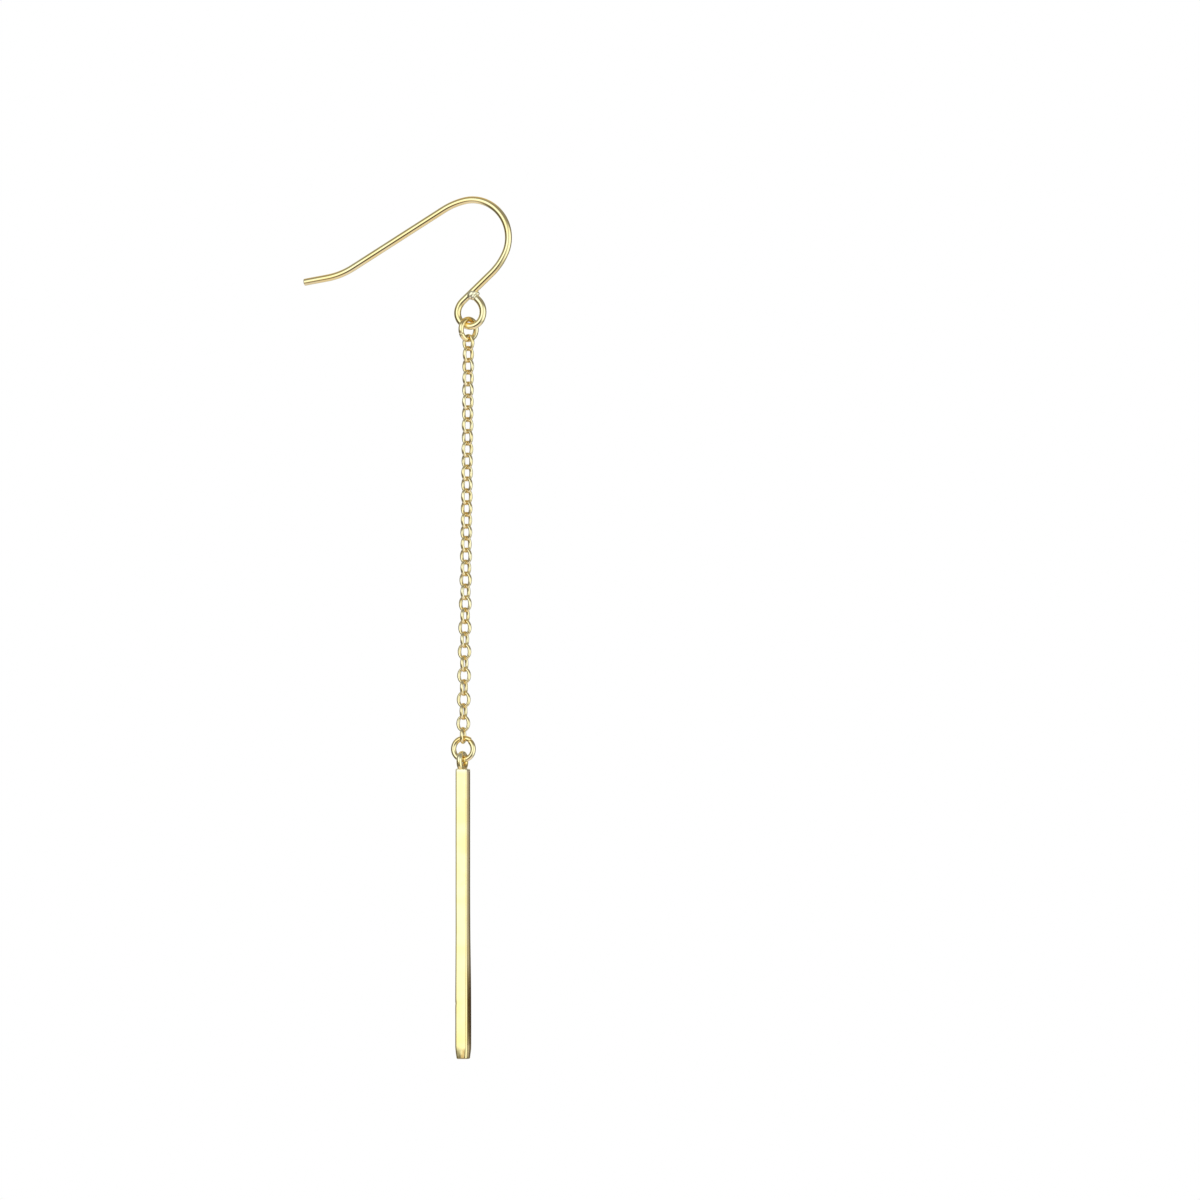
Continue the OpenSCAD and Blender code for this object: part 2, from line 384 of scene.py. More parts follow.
def wire_path(rows, slope, step):
    """Places along a bent wire in the XZ plane, as rows of x, z, heading and distance.

    A straight run moves on by its length along the heading h. A bend of radius r
    and turn a ends at x + r (sin(h + a) - sin h), z - r (cos(h + a) - cos h), with
    r counted negative for a turn downwards. Step is the most turn between places.
    """
    place = np.array([0.0, 0.0, math.radians(slope), 0.0])
    parts = [place[None]]
    for run, radius, turn in rows:
        if run > 0:
            way = np.linspace(0, run, 2 + round(run / STRAIGHT_STEP))[1:, None]
            ahead = np.array([np.cos(place[2]), np.sin(place[2]), 0.0, 1.0])
            parts.append(place + way * ahead)
            place = parts[-1][-1]
        if turn:
            r = math.copysign(radius, turn)
            a = np.radians(np.linspace(0, turn, 1 + math.ceil(abs(turn) / step))[1:])
            h = place[2]
            x = place[0] + r * (np.sin(h + a) - np.sin(h))
            z = place[1] - r * (np.cos(h + a) - np.cos(h))
            parts.append(np.column_stack([x, z, h + a, place[3] + radius * np.abs(a)]))
            place = parts[-1][-1]
    return np.vstack(parts)


def once_round(count):
    """Angles once round in equal steps, from 0 to one step short of a full turn."""
    return np.linspace(0, 2 * math.pi, count, endpoint=False)


def round_section(q, first, second):
    """Circles of radius 1 square to a path: cos q times first plus sin q times second."""
    return np.cos(q)[None, :, None] * first[:, None] + np.sin(q)[None, :, None] * second


def grid_faces(rows, columns, ring=False):
    """The quads of a grid of points: each joins its point to the next in its row and
    column. Columns always close into a ring, and rows do where ring is true."""
    i = np.arange(rows if ring else rows - 1)[:, None] * columns
    k = np.arange(columns)[None, :]
    next_i = (i + columns) % (rows * columns)
    next_k = (k + 1) % columns
    return np.stack([i + k, i + next_k, next_i + next_k, next_i + k], -1).reshape(-1, 4)


def fan_faces(first, columns, pole):
    """Triangles from each pair of neighbours in a ring of points to its pole."""
    k = np.arange(columns)
    return np.column_stack([first + k, first + (k + 1) % columns, np.full(columns, pole)])


def volume(points, faces):
    """Volume inside a closed shell: a sixth of the sum of a . (b x c) over its triangles."""
    total = 0.0
    for block in faces:
        corners = points[block]
        for k in range(1, block.shape[1] - 1):
            a, b, c = corners[:, 0], corners[:, k], corners[:, k + 1]
            total += np.einsum("ij,ij->", a, np.cross(b, c))
    return total / 6


def closed_shell(points, faces):
    """The shell with its faces turned over if they point inwards."""
    if volume(points - points.mean(0), faces) < 0:
        faces = [block[:, ::-1] for block in faces]
    return points, faces


def capped_tube(grid):
    """A tube of rings of points, closed at both ends by a fan to the ring's middle."""
    rows, columns = grid.shape[:2]
    points = np.vstack([grid.reshape(-1, 3), grid[0].mean(0), grid[-1].mean(0)])
    last = (rows - 1) * columns
    faces = [
        grid_faces(rows, columns),
        np.vstack([
            fan_faces(0, columns, rows * columns)[:, ::-1],
            fan_faces(last, columns, rows * columns + 1),
        ]),
    ]
    return closed_shell(points, faces)


def ring_tube(grid):
    """A tube whose last ring of points joins its first."""
    rows, columns = grid.shape[:2]
    return closed_shell(grid.reshape(-1, 3), [grid_faces(rows, columns, ring=True)])


def bump(distance, reach):
    """A smooth hill of height 1: e to the power of minus (distance / reach) squared."""
    return np.exp(-((distance / reach) ** 2))


def smooth_step(value, low, high):
    """0 below low, 1 above high, and t squared times (3 - 2 t) between them, where t is
    the share of the way from low to high."""
    t = np.clip((value - low) / (high - low), 0, 1)
    return t * t * (3 - 2 * t)


def join_shells(shells):
    """Several shells as one list of points and one list of faces."""
    points = np.vstack([shell[0] for shell in shells])
    starts = np.cumsum([0] + [len(shell[0]) for shell in shells[:-1]])
    faces = []
    for start, shell in zip(starts, shells):
        for block in shell[1]:
            faces.extend((block + start).tolist())
    return points, faces


def add_piece(name, parts, material, body, slot, *nodes):
    """A smooth mesh of these parts that rides on a body and stands for CAD nodes.

    A part is a closed shell and its marks, which are named arrays of numbers on its
    points. A mark is 0 on a shell that lacks it.
    """
    points, faces = join_shells([shell for shell, _ in parts])
    mesh = bpy.data.meshes.new(name)
    mesh.from_pydata(points.tolist(), [], faces)
    for mark in sorted({mark for _, marks in parts for mark in marks}):
        arrays = [marks.get(mark, np.zeros(len(shell[0]))) for shell, marks in parts]
        layer = mesh.attributes.new(mark, "FLOAT", "POINT")
        layer.data.foreach_set("value", np.concatenate(arrays).astype(np.float32))
    mesh.shade_smooth()
    mesh.materials.append(material)
    piece = bpy.data.objects.new(name, mesh)
    bpy.context.scene.collection.objects.link(piece)
    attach(piece, body)
    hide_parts(*nodes)
    return piece


class Value:
    """A node's output on which Python's operators do the shader's maths."""

    def __init__(self, socket):
        self.socket = socket

    def maths(self, operation, first, second):
        """A Math node on two values or numbers."""
        tree = Nodes(self.socket.id_data)
        return tree.add("ShaderNodeMath", {"operation": operation}, {0: first, 1: second})

    def __add__(self, other):
        return self.maths("ADD", self, other)

    def __radd__(self, other):
        return self.maths("ADD", other, self)

    def __sub__(self, other):
        return self.maths("SUBTRACT", self, other)

    def __rsub__(self, other):
        return self.maths("SUBTRACT", other, self)

    def __mul__(self, other):
        return self.maths("MULTIPLY", self, other)

    def __rmul__(self, other):
        return self.maths("MULTIPLY", other, self)


class Nodes:
    """A node tree with one way to add a node and join it up."""

    def __init__(self, tree):
        self.tree = tree

    def add(self, kind, settings=None, inputs=None, output=0):
        """Adds a node, sets its settings first, then the values or links of its inputs."""
        node = self.tree.nodes.new(kind)
        for key, value in (settings or {}).items():
            setattr(node, key, value)
        for key, value in (inputs or {}).items():
            if isinstance(value, Value):
                self.tree.links.new(value.socket, node.inputs[key])
            else:
                node.inputs[key].default_value = value
        return Value(node.outputs[output]) if node.outputs else node

    def noise(self, place, scale, detail=2.0):
        """Noise from 0 to 1 with features one over scale across."""
        inputs = {"Vector": place, "Scale": scale, "Detail": detail}
        return self.add("ShaderNodeTexNoise", None, inputs)

    def ease(self, value, low, high):
        """0 below low, 1 above high, and a smooth step between them."""
        settings = {"interpolation_type": "SMOOTHSTEP"}
        inputs = {"Value": value, "From Min": low, "From Max": high}
        return self.add("ShaderNodeMapRange", settings, inputs)

    def mix(self, factor, a, b):
        """Colour a where factor is 0 and colour b where it is 1."""
        settings = {"data_type": "RGBA"}
        return self.add("ShaderNodeMix", settings, {0: factor, 6: a, 7: b}, output=2)

    def dot(self, a, b):
        """The dot product of two vectors."""
        settings = {"operation": "DOT_PRODUCT"}
        return self.add("ShaderNodeVectorMath", settings, {0: a, 1: b}, output="Value")

    def mark(self, name):
        """A number kept on the piece's points."""
        settings = {"attribute_type": "GEOMETRY", "attribute_name": name}
        return self.add("ShaderNodeAttribute", settings, output="Fac")

    def place(self):
        """The place on the piece, in metres."""
        return self.add("ShaderNodeTexCoord", output="Object")


def rgba(colour, scale=1.0):
    """A colour times a number, with an opaque alpha."""
    return (*(channel * scale for channel in colour), 1.0)


def tinted(colour, tint):
    """A colour times a tint, channel by channel, with an opaque alpha."""
    return rgba([channel * share for channel, share in zip(colour, tint)])


def new_material(name):
    """An empty material and its nodes."""
    material = bpy.data.materials.new(name)
    material.use_nodes = True
    material.node_tree.nodes.clear()
    return material, Nodes(material.node_tree)


def gold_material(name, colour, polish, line_scale):
    """Polished gold plate: a faint drift of colour, fine draw lines along the wire, a
    soft haze of handling, paler solder and a pale painted highlight, deeper gold painted
    where pieces meet as their reflection in each other and where worn, and painted shade.

    The marks of solder and highlight, of reflection and wear, and of shade run from 0 to 1.
    Across and along are the place on the surface in mm, so the draw lines follow each
    bend. Polish is the roughness of clean plate, and the haze, the lines, the solder and
    highlight and the deeper gold change it a little.
    """
    material, tree = new_material(name)
    place = tree.place()
    across, along = tree.mark("across"), tree.mark("along")
    solder, rub, dull = tree.mark("solder"), tree.mark("rub"), tree.mark("dull")
    lay = tree.add(
        "ShaderNodeCombineXYZ", None, {"X": across * LINES_ACROSS, "Y": along * LINES_ALONG})
    lines = tree.noise(lay, line_scale, detail=3.0)
    drift = tree.noise(place, DRIFT_SCALE)
    haze = tree.noise(place, HAZE_SCALE, detail=4.0)
    lumps = tree.noise(place, LUMP_SCALE, detail=3.0)

    warm, pale = tinted(colour, WARM_TINT), tinted(colour, PALE_TINT)
    plate = tree.mix(tree.ease(drift, 0.35, 0.65), warm, pale)
    # Solder, and the pale painted highlight on the eye's arch, mixed in with the paler colour
    plate = tree.mix(solder * MARK_COVER, plate, rgba(SOLDER_AND_HIGHLIGHT_COLOUR))
    # Painted reflection where pieces meet, and wear, as deeper gold
    rub_and_reflection_cover = rub * (0.5 + tree.ease(haze, 0.3, 0.7) * 0.5)
    plate = tree.mix(rub_and_reflection_cover * MARK_COVER, plate, rgba(RUB_AND_REFLECTION_COLOUR))
    # Painted shade: darkens the ear wire's tip and the bar's lower rim
    plate = tree.mix(dull * MARK_COVER, plate, rgba(PAINTED_SHADE_COLOUR))

    roughness = polish + (haze - 0.5) * 0.05 + (lines - 0.5) * 0.03
    roughness = roughness + solder * 0.2 + rub * 0.05
    height = lines * 0.25 + lumps * solder * 0.12 + haze * 0.12
    normal = tree.add(
        "ShaderNodeBump", None, {"Strength": 0.35, "Distance": 0.004 * MM, "Height": height})
    shader = tree.add("ShaderNodeBsdfPrincipled", None, {
        "Base Color": plate, "Metallic": 1.0, "Roughness": roughness, "Normal": normal})
    tree.add("ShaderNodeOutputMaterial", None, {"Surface": shader})
    return material


def ring_marks(rows, columns, length, wire):
    """The marks of a tube of rings: across is how far round the wire, folded so that
    it meets itself, and along is how far along the ring, folded the same way."""
    across = np.abs(np.linspace(-1, 1, columns, endpoint=False)) * math.pi * wire / 2
    along = np.abs(np.linspace(-1, 1, rows, endpoint=False)) * length / 2
    return np.tile(across / MM, rows), np.repeat(along / MM, columns)


def bearing_rub_and_reflection(t, q, gain, cut):
    """How deeply a ring is painted deeper gold where its neighbours bear on it, as their
    reflection in it and rubbing: at the angle t round the ring gain |sin t| less cut, times
    -cos q at the angle q round its wire, each held between 0 and 1. That is the wire's
    inner side near the ring's top and bottom."""
    ends = np.clip(np.abs(np.sin(t)) * gain - cut, 0, 1)
    return np.outer(ends, np.clip(-np.cos(q), 0, 1)).ravel()


def upright_ring(centre, radius, wire, turn, seam_at, seam_step=0.0, legs=0.0):
    """A round ring standing upright with its cut ends butted together.

    With R the radius of the wire's middle, d its thickness, e pointing outwards at the
    angle t and w along the ring's axis, a point is
    centre + (R + o(t)) e + (d / 2) g(t) (cos q e + sin q w). The groove g is 1 less a
    narrow hill at the seam, and o rises there from 0 to the step s as
    s (1 + tanh(arc / rise)) / 2 and fades to 0 as a hill does, so one end stands out
    past the other. Legs straighten the lower half: a point there moves sideways, away
    from the middle, by legs R times sin t squared, and by less within 30 degrees of
    the bottom, where it is also times 2 |cos t|.
    """
    u = np.array([math.cos(math.radians(turn)), math.sin(math.radians(turn)), 0.0])
    w = np.cross(u, UP)
    seam = math.radians(seam_at)
    t = once_round(RING_ROWS)
    t = t + seam + CUT_CROWDING * np.sin(t - math.pi)
    q = once_round(RING_COLUMNS)
    arc = radius * ((t - seam + math.pi) % (2 * math.pi) - math.pi)
    groove = 1 - GROOVE_DEPTH * bump(arc, GROOVE_REACH)
    offset = seam_step / 2 * (1 + np.tanh(arc / STEP_RISE)) * bump(arc, STEP_REACH)
    sideways = legs * radius * np.sign(np.cos(t)) * np.clip(-np.sin(t), 0, 1) ** 2
    sideways = sideways * np.clip(np.abs(np.cos(t)) * 2, 0, 1)

    e = np.cos(t)[:, None] * u + np.sin(t)[:, None] * UP
    spine = centre + (radius + offset)[:, None] * e + sideways[:, None] * u
    grid = spine[:, None] + (wire / 2 * groove)[:, None, None] * round_section(q, e, w)
    across, along = ring_marks(RING_ROWS, RING_COLUMNS, 2 * math.pi * radius, wire)
    # Painted reflection and rubbing: deeper gold on the wire's inner side where neighbours bear
    # on it
    marks = {"across": across, "along": along, "rub": bearing_rub_and_reflection(t, q, gain=1.6, cut=0.75)}
    return ring_tube(grid), marks


def ear_wire_tube(thickness, tip_round):
    """The bent ear wire as a tube with its marks, and the end of its loop.

    A point is the path's place plus r (cos q n + sin q f), with n square to the path
    in its plane and f forward. At the tip the edge is a quarter round of radius c:
    c (1 - cos a) along the way r is short of the wire's by c (1 - sin a).
    """
    radius = thickness / 2
    x, z, heading, way = wire_path(EAR_WIRE_ROWS, TIP_SLOPE, BEND_STEP).T
    level = np.zeros_like(x)
    spine = np.column_stack([x * MM, level, z * MM])
    high = np.array(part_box("ear_wire")[1]) - radius
    spine = spine + (high - spine.max(0)) * [1, 0, 1]
    normal = np.column_stack([-np.sin(heading), level, np.cos(heading)])
    tip_ahead = np.array([math.cos(heading[0]), 0.0, math.sin(heading[0])])

    a = np.linspace(0, math.pi / 2, 6)
    cut = tip_round * (1 - np.cos(a))
    size = np.full(len(way) - 1, radius)
    size = np.concatenate([radius - tip_round * (1 - np.sin(a)), size])
    spine = np.vstack([spine[0] + cut[:, None] * tip_ahead, spine[1:]])
    normal = np.vstack([np.repeat(normal[:1], len(cut), 0), normal[1:]])
    way = np.concatenate([cut, way[1:] * MM])

    columns = 28
    q = once_round(columns)
    grid = spine[:, None] + size[:, None, None] * round_section(q, normal, FORWARD)
    loop_end = spine[-1]
    across = np.abs(np.linspace(-1, 1, columns, endpoint=False)) * WIRE_HALF_ROUND
    solder = bump(np.linalg.norm(spine - loop_end, axis=1), SOLDER_RUN)
    # Painted reflection and rubbing: deeper gold on the loop's inner side round the ring's seat
    seat_reflection = bump(np.linalg.norm(spine - RING_SEAT, axis=1), SEAT_REFLECTION_REACH)
    # Painted shade: the tip is darkened, fading along the wire
    tip_shade = TIP_PAINTED_SHADE * bump(way, TIP_SHADE_REACH)
    # The last two values of each mark are for the middles of the caps
    marks = {
        "across": np.append(np.tile(across, len(spine)), [0, 0]),
        "along": np.append(np.repeat(way / MM, columns), [0, way[-1] / MM]),
        "solder": np.append(np.repeat(solder, columns), [0, 1]),
        "rub": np.append(np.outer(seat_reflection, np.clip(np.cos(q), 0, 1)), [0, 0]),
        "dull": np.append(np.repeat(tip_shade, columns), [TIP_PAINTED_SHADE, 0]),
    }
    return capped_tube(grid), marks, loop_end


class EARRING_OT_ear_wire(Operator):
    """Bends the ear wire, cuts its tip and closes its loop with solder"""

    bl_idname = "earring.ear_wire"
    bl_label = "Ear Wire"

    def execute(self, context):
        settings = context.scene.earring_wire
        tube, tube_marks, loop_end = ear_wire_tube(settings.thickness, settings.tip_round)
        parts = [(tube, tube_marks)]
        for place, sizes, lean in SOLDER_BEADS:
            parts.append(solder_bead(loop_end + np.array(place) * MM, sizes, lean))
        gold = gold_material("ear_wire_gold", settings.colour, polish=0.09, line_scale=2.4)
        add_piece("bent_ear_wire", parts, gold, HOOK_BODY, "ear_wire", "ear_wire")
        return {"FINISHED"}


def solder_bead(centre, sizes, lean):
    """A slightly uneven bead of solder, leaning in the XZ plane.

    A point at longitude q and latitude p is the centre plus the half sizes times
    (cos p cos q, cos p sin q, sin p) times 1 + 0.04 sin 3q cos 2p, then leant.
    """
    q = once_round(32)
    p = np.linspace(-math.pi / 2, math.pi / 2, 18)[1:-1, None]
    uneven = 1 + 0.04 * np.sin(3 * q) * np.cos(2 * p)
    ball = np.stack([np.cos(p) * np.cos(q), np.cos(p) * np.sin(q), np.sin(p) + 0 * q], -1)
    ball = ball * uneven[..., None] * np.array(sizes) * MM
    a = math.radians(lean)
    right = np.array([math.cos(a), 0.0, math.sin(a)])
    up = np.array([-math.sin(a), 0.0, math.cos(a)])
    leant = ball[..., :1] * right + ball[..., 1:2] * FORWARD + ball[..., 2:] * up
    points, faces = capped_tube(centre + leant)
    count = len(points)
    marks = {"across": np.zeros(count), "along": points[:, 2] / MM, "solder": np.ones(count)}
    return (points, faces), marks


class EARRING_OT_jump_rings(Operator):
    """Closes the two round jump rings, the lower one with its cut ends a little apart"""

    bl_idname = "earring.jump_rings"
    bl_label = "Jump Rings"

    def execute(self, context):
        settings = context.scene.earring_rings
        gold = gold_material("ring_gold", settings.colour, polish=0.09, line_scale=2.4)
        for name, node, body, wire_setting, turn, cut_at, step_share in JUMP_RINGS:
            wire = getattr(settings, wire_setting)
            centre = box_centre(node)
            radius = (box_size(node)[2] - wire) / 2
            shell, marks = upright_ring(
                centre, radius, wire, turn, cut_at, settings.join_step * step_share)
            # Painted reflection: the ring's top is painted deeper gold where the link or loop
            # in it is reflected
            top_reflection = smooth_step(shell[0][:, 2] - centre[2], TOP_REFLECTION_FROM, TOP_REFLECTION_TO)
            marks["rub"] = np.maximum(marks["rub"], TOP_REFLECTION * top_reflection)
            add_piece(name, [(shell, marks)], gold, body, "jump_rings", node)
        return {"FINISHED"}


def link_turn(number):
    """The turn of a link about the vertical, in degrees: a quarter turn a link, plus
    the twist that the lower chain gathers by a smooth step and the last link's own,
    less the untwist of the upper chain, which is one half wave of a sine."""
    count = len(LINK_NODES)
    gathered = GATHERED_TWIST * smooth_step(number, TWIST_FROM, count - 3)
    last = LAST_TWIST if number == count else 0.0
    early = min((number - 1) / TWIST_FROM, 1.0)
    return FIRST_TURN + 90 * number + gathered + last - UNTWIST * math.sin(math.pi * early)


def chain_link(centre, length, turn, settings):
    """One link: an oval of wire between an outer ellipse and an oval hole.

    At the angle t the outer edge is (a cos t, b sin t) and the hole's edge is
    (c cos t, h sin t), where h is half the hole's height, a half the link's width, b is
    h plus the end's thickness and c is a less the side's. The wire's section there is
    an ellipse that reaches from one to the other, as deep as a side is thick.
    """
    columns = 16
    t, q = once_round(settings.steps), once_round(columns)
    h = length / 2 - LINK_BEARING
    a, b = settings.width / 2, h + settings.end
    c = a - settings.side
    outer = np.column_stack([a * np.cos(t), b * np.sin(t)])
    inner = np.column_stack([c * np.cos(t), h * np.sin(t)])
    mid, arm = (outer + inner) / 2, (outer - inner) / 2
    flat = mid[:, None] + np.cos(q)[None, :, None] * arm[:, None]
    depth = settings.side / 2 * np.sin(q)
    u = np.array([math.cos(math.radians(turn)), math.sin(math.radians(turn)), 0.0])
    w = np.cross(u, UP)
    grid = centre + flat[..., :1] * u + flat[..., 1:] * UP + depth[None, :, None] * w
    across, along = ring_marks(settings.steps, columns, LINK_ROUND, settings.side)
    seam = 0.6 * bump(a * (t - math.radians(LINK_SEAM_AT)), LINK_SEAM_REACH)
    marks = {
        "across": across,
        "along": along,
        # Painted reflection and rubbing: a little deeper gold where the neighbouring links bear
        # on it
        "rub": 0.2 * bearing_rub_and_reflection(t, q, gain=2.0, cut=1.1),
        "solder": np.repeat(seam, columns),
    }
    return ring_tube(grid), marks


class EARRING_OT_chain(Operator):
    """Makes each link of the cable chain as a piece of its own"""

    bl_idname = "earring.chain"
    bl_label = "Chain"

    def execute(self, context):
        settings = context.scene.earring_chain
        gold = gold_material("chain_gold", settings.colour, polish=0.1, line_scale=2.4)
        for number, node in enumerate(LINK_NODES, 1):
            link = chain_link(box_centre(node), box_size(node)[2], link_turn(number), settings)
            add_piece(f"polished_{node}", [link], gold, HOOK_BODY, "chain", node)
        return {"FINISHED"}


def square_profile():
    """Once round a square with rounded corners, as two arrays of unit vectors.

    With the edge's radius r and half side h a point is C (h - r) + D r. At a corner C
    is the corner's signs and D turns with the arc, and along a side C slides from
    one corner to the next while D stands still. C and D are given back.
    """
    arc = np.radians(np.linspace(0, 90, 9))
    slide = np.array([0.06, 0.2, 0.4, 0.6, 0.8, 0.94])
    corner = np.column_stack([np.ones_like(arc), np.ones_like(arc)])
    corner_way = np.column_stack([np.cos(arc), np.sin(arc)])
    side = np.column_stack([1 - 2 * slide, np.ones_like(slide)])
    side_way = np.column_stack([np.zeros_like(slide), np.ones_like(slide)])
    c, d = np.vstack([corner, side]), np.vstack([corner_way, side_way])
    quarter = np.array([[0.0, -1.0], [1.0, 0.0]])
    turns = [np.linalg.matrix_power(quarter, k) for k in range(4)]
    return np.vstack([c @ m.T for m in turns]), np.vstack([d @ m.T for m in turns])


def rod_stations(length):
    """How far down each ring of the rod's points is, and how far its end roundings draw
    it in: quarter rounds of radius R, R (1 - cos a) down and R (1 - sin a) in."""
    a = np.radians(np.linspace(0, 90, 8))
    straight = np.linspace(TOP_ROUND, length - LOW_ROUND, 150)[1:-1]
    down = np.concatenate([
        TOP_ROUND * (1 - np.cos(a)), straight, length - LOW_ROUND * (1 - np.sin(a))])
    inset = np.concatenate([
        TOP_ROUND * (1 - np.sin(a)), 0 * straight, LOW_ROUND * (1 - np.cos(a))])
    return down, inset


def rod_relief(c, d, down, worn, settings):
    """How far each point of the rod lies below its flat face.

    It is the crown times the square of how near the edge it is, the uneven wear of the
    end and a slow wave as sines of the face's direction, plus the nick in the front
    left edge, less the swelling on the front, which are both hills of e^-(d / reach)^2.
    """
    near_edge = np.abs(c).min(1) ** 2
    face = np.arctan2(d[:, 1], d[:, 0])
    uneven = UNEVEN_END * worn[:, None] * np.sin(3 * face + 11 * worn[:, None])
    wave = FACE_WAVE * np.sin(down / MM * 1.1)[:, None] * np.sin(3 * face)
    front_left = bump(np.linalg.norm(d - [-0.7, -0.7], axis=1), 0.5)
    nick = NICK_DEPTH * bump(down - NICK_DOWN, NICK_REACH)[:, None] * front_left
    front = bump(np.linalg.norm(c - [0.1, -1.0], axis=1), 0.35)
    swell_at = settings.length - SWELL_UP
    swell = SWELL_HEIGHT * bump(down - swell_at, SWELL_REACH)[:, None] * front
    return settings.crown * near_edge + uneven + wave + nick - swell


def square_rod(x, top, settings):
    """The square rod: rounded edges, slightly crowned faces, a little twist and flare
    towards its lower end, softer edges there and at the front left, a nick, a swelling,
    and a worn, uneven last millimetre with a dark rim of painted shade.

    Down the rod the half side shrinks by the end roundings and, over the worn length, by
    slope times the way past its start times w / (w + onset), where w is the share of
    the worn length passed. Each ring of points is turned by the twist times a smooth
    step. The flare comes in by another, and by a third it moves the rod aside.
    """
    half = settings.side / 2
    down, inset = rod_stations(settings.length)
    past = np.clip(down - (settings.length - settings.worn), 0, None)
    worn = past / settings.worn
    wear = WEAR_SLOPE * past * worn / (worn + WEAR_ONSET)
    flared = smooth_step(down, *FLARE_OVER)
    h = half + settings.flare * flared - inset - wear

    c, d = square_profile()
    front_right = (1 + c[:, 0]) * (1 - c[:, 1]) / 4
    front_left = (1 - c[:, 0]) * (1 - c[:, 1]) / 4
    soft = settings.edge_round + SOFT_WORN * worn[:, None] + SOFT_FRONT_LEFT * front_left
    soft = soft + SOFT_FRONT_RIGHT * flared[:, None] * front_right
    # The edges sharpen where the ends are drawn in, and stay within the half side
    r = np.clip(soft - 0.6 * inset[:, None], 0.02 * MM, h[:, None] * 0.9)[..., None]
    flat = c * (h[:, None, None] - r) + d * r
    flat = flat - d * rod_relief(c, d, down, worn, settings)[..., None]

    turn = settings.twist * smooth_step(down, *TWIST_OVER)
    cos, sin = np.cos(turn)[:, None], np.sin(turn)[:, None]
    aside = settings.flare * smooth_step(down, *ASIDE_OVER)[:, None]
    grid = np.stack([
        x + aside + flat[..., 0] * cos - flat[..., 1] * sin,
        flat[..., 0] * sin + flat[..., 1] * cos,
        np.broadcast_to((top - down)[:, None], flat.shape[:2]),
    ], -1)

    rows, columns = grid.shape[:2]
    steps = np.linalg.norm(np.diff(c * half, axis=0), axis=1)
    round_way = np.concatenate([[0], np.cumsum(steps)])
    across = np.abs(round_way - round_way[-1] / 2) / MM
    # Painted shade: a dark rim round the lower end
    rim_shade_at = settings.length - 1.2 * LOW_ROUND
    rim_shade = smooth_step(down, rim_shade_at, rim_shade_at + LOW_ROUND)
    # The last two values of each mark are for the middles of the caps
    marks = {
        "across": np.append(np.tile(across, rows), [0, 0]),
        "along": np.append(np.repeat(down / MM, columns), [0, 0]),
        # Deeper gold of painted reflection and wear on the worn end and down the flared lower
        # part
        "rub": np.append(np.repeat(0.25 * worn + 0.3 * flared, columns), [0, 0.8]),
        "solder": np.append(np.repeat(bump(down, 0.35 * MM), columns), [1, 0]),
        # Painted shade on the rim and on the lower end's cap
        "dull": np.append(np.repeat(rim_shade, columns), [0, 0.3]),
    }
    return capped_tube(grid), marks


def solder_mound(x, top):
    """A mound of solder round the foot of the eye.

    At the distance d from its middle it stands height times e^-(d / reach)^2 less a
    little above the bar's end, and its rim turns down into the metal.
    """
    q = once_round(36)
    d = np.linspace(0.02 * MM, MOUND_RIM, 14)[:, None]
    z = top + MOUND_HEIGHT * bump(d, MOUND_REACH) - MOUND_SUNK
    z[-1] -= RIM_DROP
    grid = np.stack([x + d * np.cos(q), d * np.sin(q), z + 0 * q], -1)
    foot = grid[-1] * [1, 1, 0] + [0, 0, top - MOUND_FOOT]
    points, faces = capped_tube(np.concatenate([grid, foot[None]]))
    count = len(points)
    marks = {
        "across": np.zeros(count),
        "along": points[:, 0] / MM,
        "solder": np.ones(count),
        # A little deeper gold, painted reflection and wear, where the eye meets the bar
        "rub": np.full(count, 0.15),
    }
    return (points, faces), marks


class EARRING_OT_bar(Operator):
    """Makes the square bar, and the eye that is soldered upright on its end"""

    bl_idname = "earring.bar"
    bl_label = "Bar"

    def execute(self, context):
        settings = context.scene.earring_bar
        low, high = (np.array(corner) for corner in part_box("bar"))
        x = (low[0] + high[0]) / 2
        top = low[2] + settings.length
        radius = (settings.eye_width - settings.eye_wire) / 2
        centre = np.array([x + EYE_ASIDE, 0.0, high[2] - settings.eye_width / 2])
        eye, eye_marks = upright_ring(
            centre, radius, settings.eye_wire, EYE_TURN, EYE_CUT_AT, legs=settings.eye_legs)
        # Painted highlight: a pale patch in the solder's colour on the arch's upper front
        towards_highlight = (eye[0] - centre) @ EYE_HIGHLIGHT_WAY
        eye_marks["solder"] = 0.8 * smooth_step(towards_highlight, *EYE_HIGHLIGHT_IN)
        # Painted reflection: the eye's rear half is painted deeper gold, as the pieces round it
        # are reflected in it
        rear_reflection = smooth_step(eye[0][:, 1], 0, EYE_REAR_REFLECTION)
        eye_marks["rub"] = np.maximum(eye_marks["rub"], 0.9 * rear_reflection)
        parts = [square_rod(x, top, settings), (eye, eye_marks), solder_mound(x, top)]
        gold = gold_material("bar_gold", settings.colour, polish=0.085, line_scale=1.6)
        add_piece("bar_and_eye", parts, gold, BAR_BODY, "bar", "bar")
        return {"FINISHED"}


